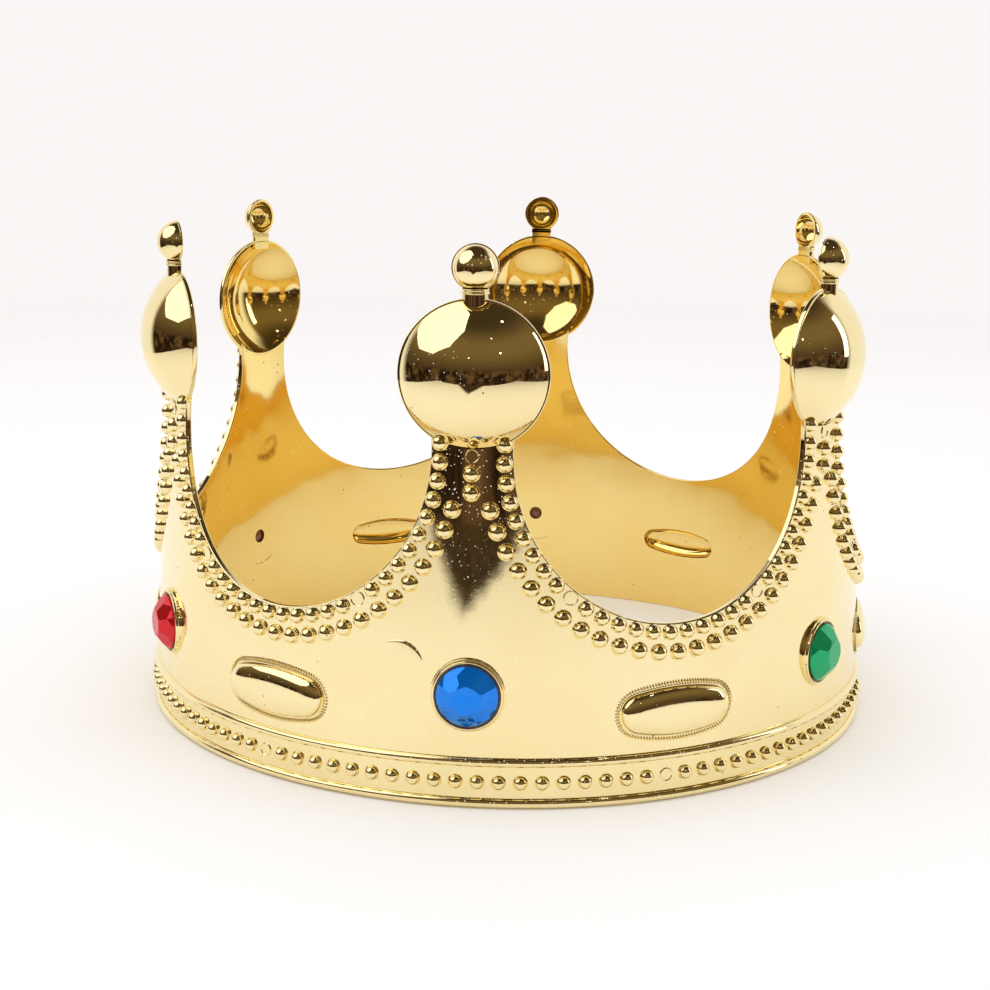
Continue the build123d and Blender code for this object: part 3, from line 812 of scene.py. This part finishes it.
def floor_material():
    """Matt white board that fades into the white background, more with distance from the crown."""
    material = bpy.data.materials.new("white_board")
    s = Shader(node_tree(material))
    at = s.add("ShaderNodeTexCoord").outputs["Object"]
    grain = s.noise(at, 900.0, 2.0)
    tint = s.mix(grain, rgba(0.845, 0.835, 0.838), rgba(0.855, 0.845, 0.848))
    bump = s.add("ShaderNodeBump", {"Height": grain, "Distance": 0.00002, "Strength": 0.5})
    matt = s.add("ShaderNodeBsdfDiffuse", {"Color": tint, "Normal": bump.outputs["Normal"]})
    away = s.add("ShaderNodeVectorMath", {0: at}, operation="LENGTH").outputs["Value"]
    clear = s.add("ShaderNodeBsdfTransparent")
    fade = s.ramp(away, FADE_FROM, FADE_TO)
    both = s.add("ShaderNodeMixShader", {0: fade, 1: matt.outputs[0], 2: clear.outputs[0]})
    s.add("ShaderNodeOutputMaterial", {"Surface": both.outputs[0]})
    return material


def board(name, corners, material, height=0.0):
    mesh = bpy.data.meshes.new(name)
    mesh.from_pydata([(x, y, height) for x, y in corners], [], [tuple(range(len(corners)))])
    mesh.materials.append(material)
    thing = bpy.data.objects.new(name, mesh)
    scene.collection.objects.link(thing)
    return thing


def rectangle(left, right, low, high):
    return [(left, low), (right, low), (right, high), (left, high)]


white_board = floor_material()
board("table", rectangle(TABLE_LEFT, TABLE_RIGHT, TABLE_EDGE, FLOOR_REACH), white_board)
for name, corners in (("floor_in_front", rectangle(-FLOOR_REACH, FLOOR_REACH, -FLOOR_REACH, TABLE_EDGE)),
                      ("floor_left", rectangle(-FLOOR_REACH, TABLE_LEFT, TABLE_EDGE, FLOOR_REACH)),
                      ("floor_right", rectangle(TABLE_RIGHT, FLOOR_REACH, TABLE_EDGE, FLOOR_REACH))):
    sweep = board(name, corners, white_board)
    sweep.visible_glossy = False
    sweep.visible_transmission = False

# A dark wedge of card on the table's front, which the front tine's neck mirrors. It glows with a fixed dark
# colour instead of being lit, and only reflections and glass see it: a painted dark reflection in the neck.
CARD_TIP, CARD_BASE, CARD_SPREAD = (-0.033, -0.275), -0.50, 0.14
CARD_HEIGHT = 0.001
CARD_FRAY = 0.16                    # how unevenly the card's edges fade


def card_material():
    material = bpy.data.materials.new("painted_reflection_card")
    s = Shader(node_tree(material))
    at = s.add("ShaderNodeTexCoord").outputs["Object"]
    cloud = s.ramp(s.noise(at, 60.0, 3.0), 0.35, 0.65)
    tint = s.mix(cloud, rgba(0.034, 0.021, 0.013), rgba(0.072, 0.048, 0.026))
    place = s.add("ShaderNodeSeparateXYZ", {0: at})
    aside = s.math("ABSOLUTE", s.math("SUBTRACT", place.outputs["X"], CARD_TIP[0]))
    ahead = s.math("DIVIDE", s.math("SUBTRACT", CARD_TIP[1], place.outputs["Y"]), CARD_TIP[1] - CARD_BASE)
    edge = s.math("SUBTRACT", ahead, s.math("DIVIDE", aside, CARD_SPREAD))
    edge = s.math("MULTIPLY_ADD", s.noise(at, 45.0, 3.0), CARD_FRAY, s.math("SUBTRACT", edge, CARD_FRAY / 2))
    # Painted dark reflection: the card glows with this fixed colour instead of taking light from the lamps
    glow = s.add("ShaderNodeEmission", {"Color": tint, "Strength": 1.0})
    clear = s.add("ShaderNodeBsdfTransparent")
    fade = s.ramp(edge, 0.02, 0.26)
    both = s.add("ShaderNodeMixShader", {0: fade, 1: clear.outputs[0], 2: glow.outputs[0]})
    s.add("ShaderNodeOutputMaterial", {"Surface": both.outputs[0]})
    return material


card_left = (CARD_TIP[0] - CARD_SPREAD, CARD_BASE)
card_right = (CARD_TIP[0] + CARD_SPREAD, CARD_BASE)
card = board("painted_reflection_card", [CARD_TIP, card_left, card_right], card_material(), height=CARD_HEIGHT)
card.visible_camera = card.visible_diffuse = card.visible_shadow = False


def softbox(name, azimuth, elevation, distance, outline, strength):
    """A flat glowing panel facing the crown, seen in reflections but not by the camera."""
    mesh = bpy.data.meshes.new(name)
    mesh.from_pydata([(x, y, 0) for x, y in outline], [], [tuple(range(len(outline)))])
    material = bpy.data.materials.new(name)
    s = Shader(node_tree(material))
    glow = s.add("ShaderNodeEmission", {"Color": rgba(1, 1, 1), "Strength": strength})
    s.add("ShaderNodeOutputMaterial", {"Surface": glow.outputs[0]})
    mesh.materials.append(material)
    thing = bpy.data.objects.new(name, mesh)
    a, e = radians(azimuth), radians(elevation)
    towards = Vector((sin(a) * cos(e), -cos(a) * cos(e), sin(e)))
    facing_crown = towards.to_track_quat("Z", "Y").to_matrix().to_4x4()
    thing.matrix_world = Matrix.Translation(towards * distance) @ facing_crown
    scene.collection.objects.link(thing)
    thing.visible_camera = False


def polygon(sides, radius):
    angles = [2 * pi * (k + 0.5) / sides for k in range(sides)]
    return [(radius * cos(t), radius * sin(t)) for t in angles]


softbox("octagon_softbox", -66, 48, 1.25, polygon(8, 0.70), 1.5)
softbox("strip_softbox", 94, 20, 1.3, rectangle(-0.09, 0.09, -0.42, 0.42), 2.6)
LAMPS = ((31, 27, 0.018), (52, 61, 0.026), (22, 44, 0.012), (-8, 22, 0.010))   # azimuth, elevation, radius
LAMP_DISTANCE, LAMP_STRENGTH = 1.4, 12.0
for azimuth, elevation, size in LAMPS:
    softbox(f"lamp_{azimuth}_{elevation}", azimuth, elevation, LAMP_DISTANCE, polygon(8, size), LAMP_STRENGTH)


BACKDROP = rgba(0.956, 0.924, 0.916)
SCATTERED_LIGHT = rgba(1.19, 1.18, 1.185)


def build_world():
    """The surroundings, which differ by the kind of ray.

    The camera sees a near-white backdrop, and scattered light an even white. Mirror reflections see a dim
    brown room in front of the crown and white behind it.
    """
    world = bpy.data.worlds.new("studio")
    scene.world = world
    s = Shader(node_tree(world))
    way = s.add("ShaderNodeTexCoord").outputs["Generated"]
    axis = s.add("ShaderNodeSeparateXYZ", {0: way})
    forward, up = axis.outputs["Y"], axis.outputs["Z"]
    walls = s.mix(s.ramp(up, -0.05, 0.45), rgba(0.060, 0.038, 0.022), rgba(0.185, 0.130, 0.055))
    walls = s.mix(s.ramp(up, 0.55, 0.9), walls, rgba(0.052, 0.036, 0.018))
    patches = s.noise(way, 7.0, 4.0, 0.65)
    clutter = s.mix(s.ramp(patches, 0.42, 0.60), rgba(0.016, 0.010, 0.007), rgba(0.13, 0.075, 0.040))
    low = s.ramp(up, 0.10, -0.02)
    room = s.mix(low, walls, clutter)
    under = s.ramp(up, -0.12, -0.30)
    room = s.mix(under, room, rgba(0.030, 0.014, 0.009))
    behind = s.math("MULTIPLY", s.ramp(forward, 0.12, 0.32), s.ramp(up, 0.85, 0.60))
    seen = s.mix(behind, room, rgba(0.98, 0.96, 0.95))
    path = s.add("ShaderNodeLightPath")
    scattered = s.math("GREATER_THAN", path.outputs["Diffuse Depth"], 0.5)
    soft = s.mix(scattered, seen, SCATTERED_LIGHT)
    shown = s.mix(path.outputs["Is Camera Ray"], soft, BACKDROP)
    glow = s.add("ShaderNodeBackground", {"Color": shown, "Strength": 1.0})
    s.add("ShaderNodeOutputWorld", {"Surface": glow.outputs[0]})


build_world()
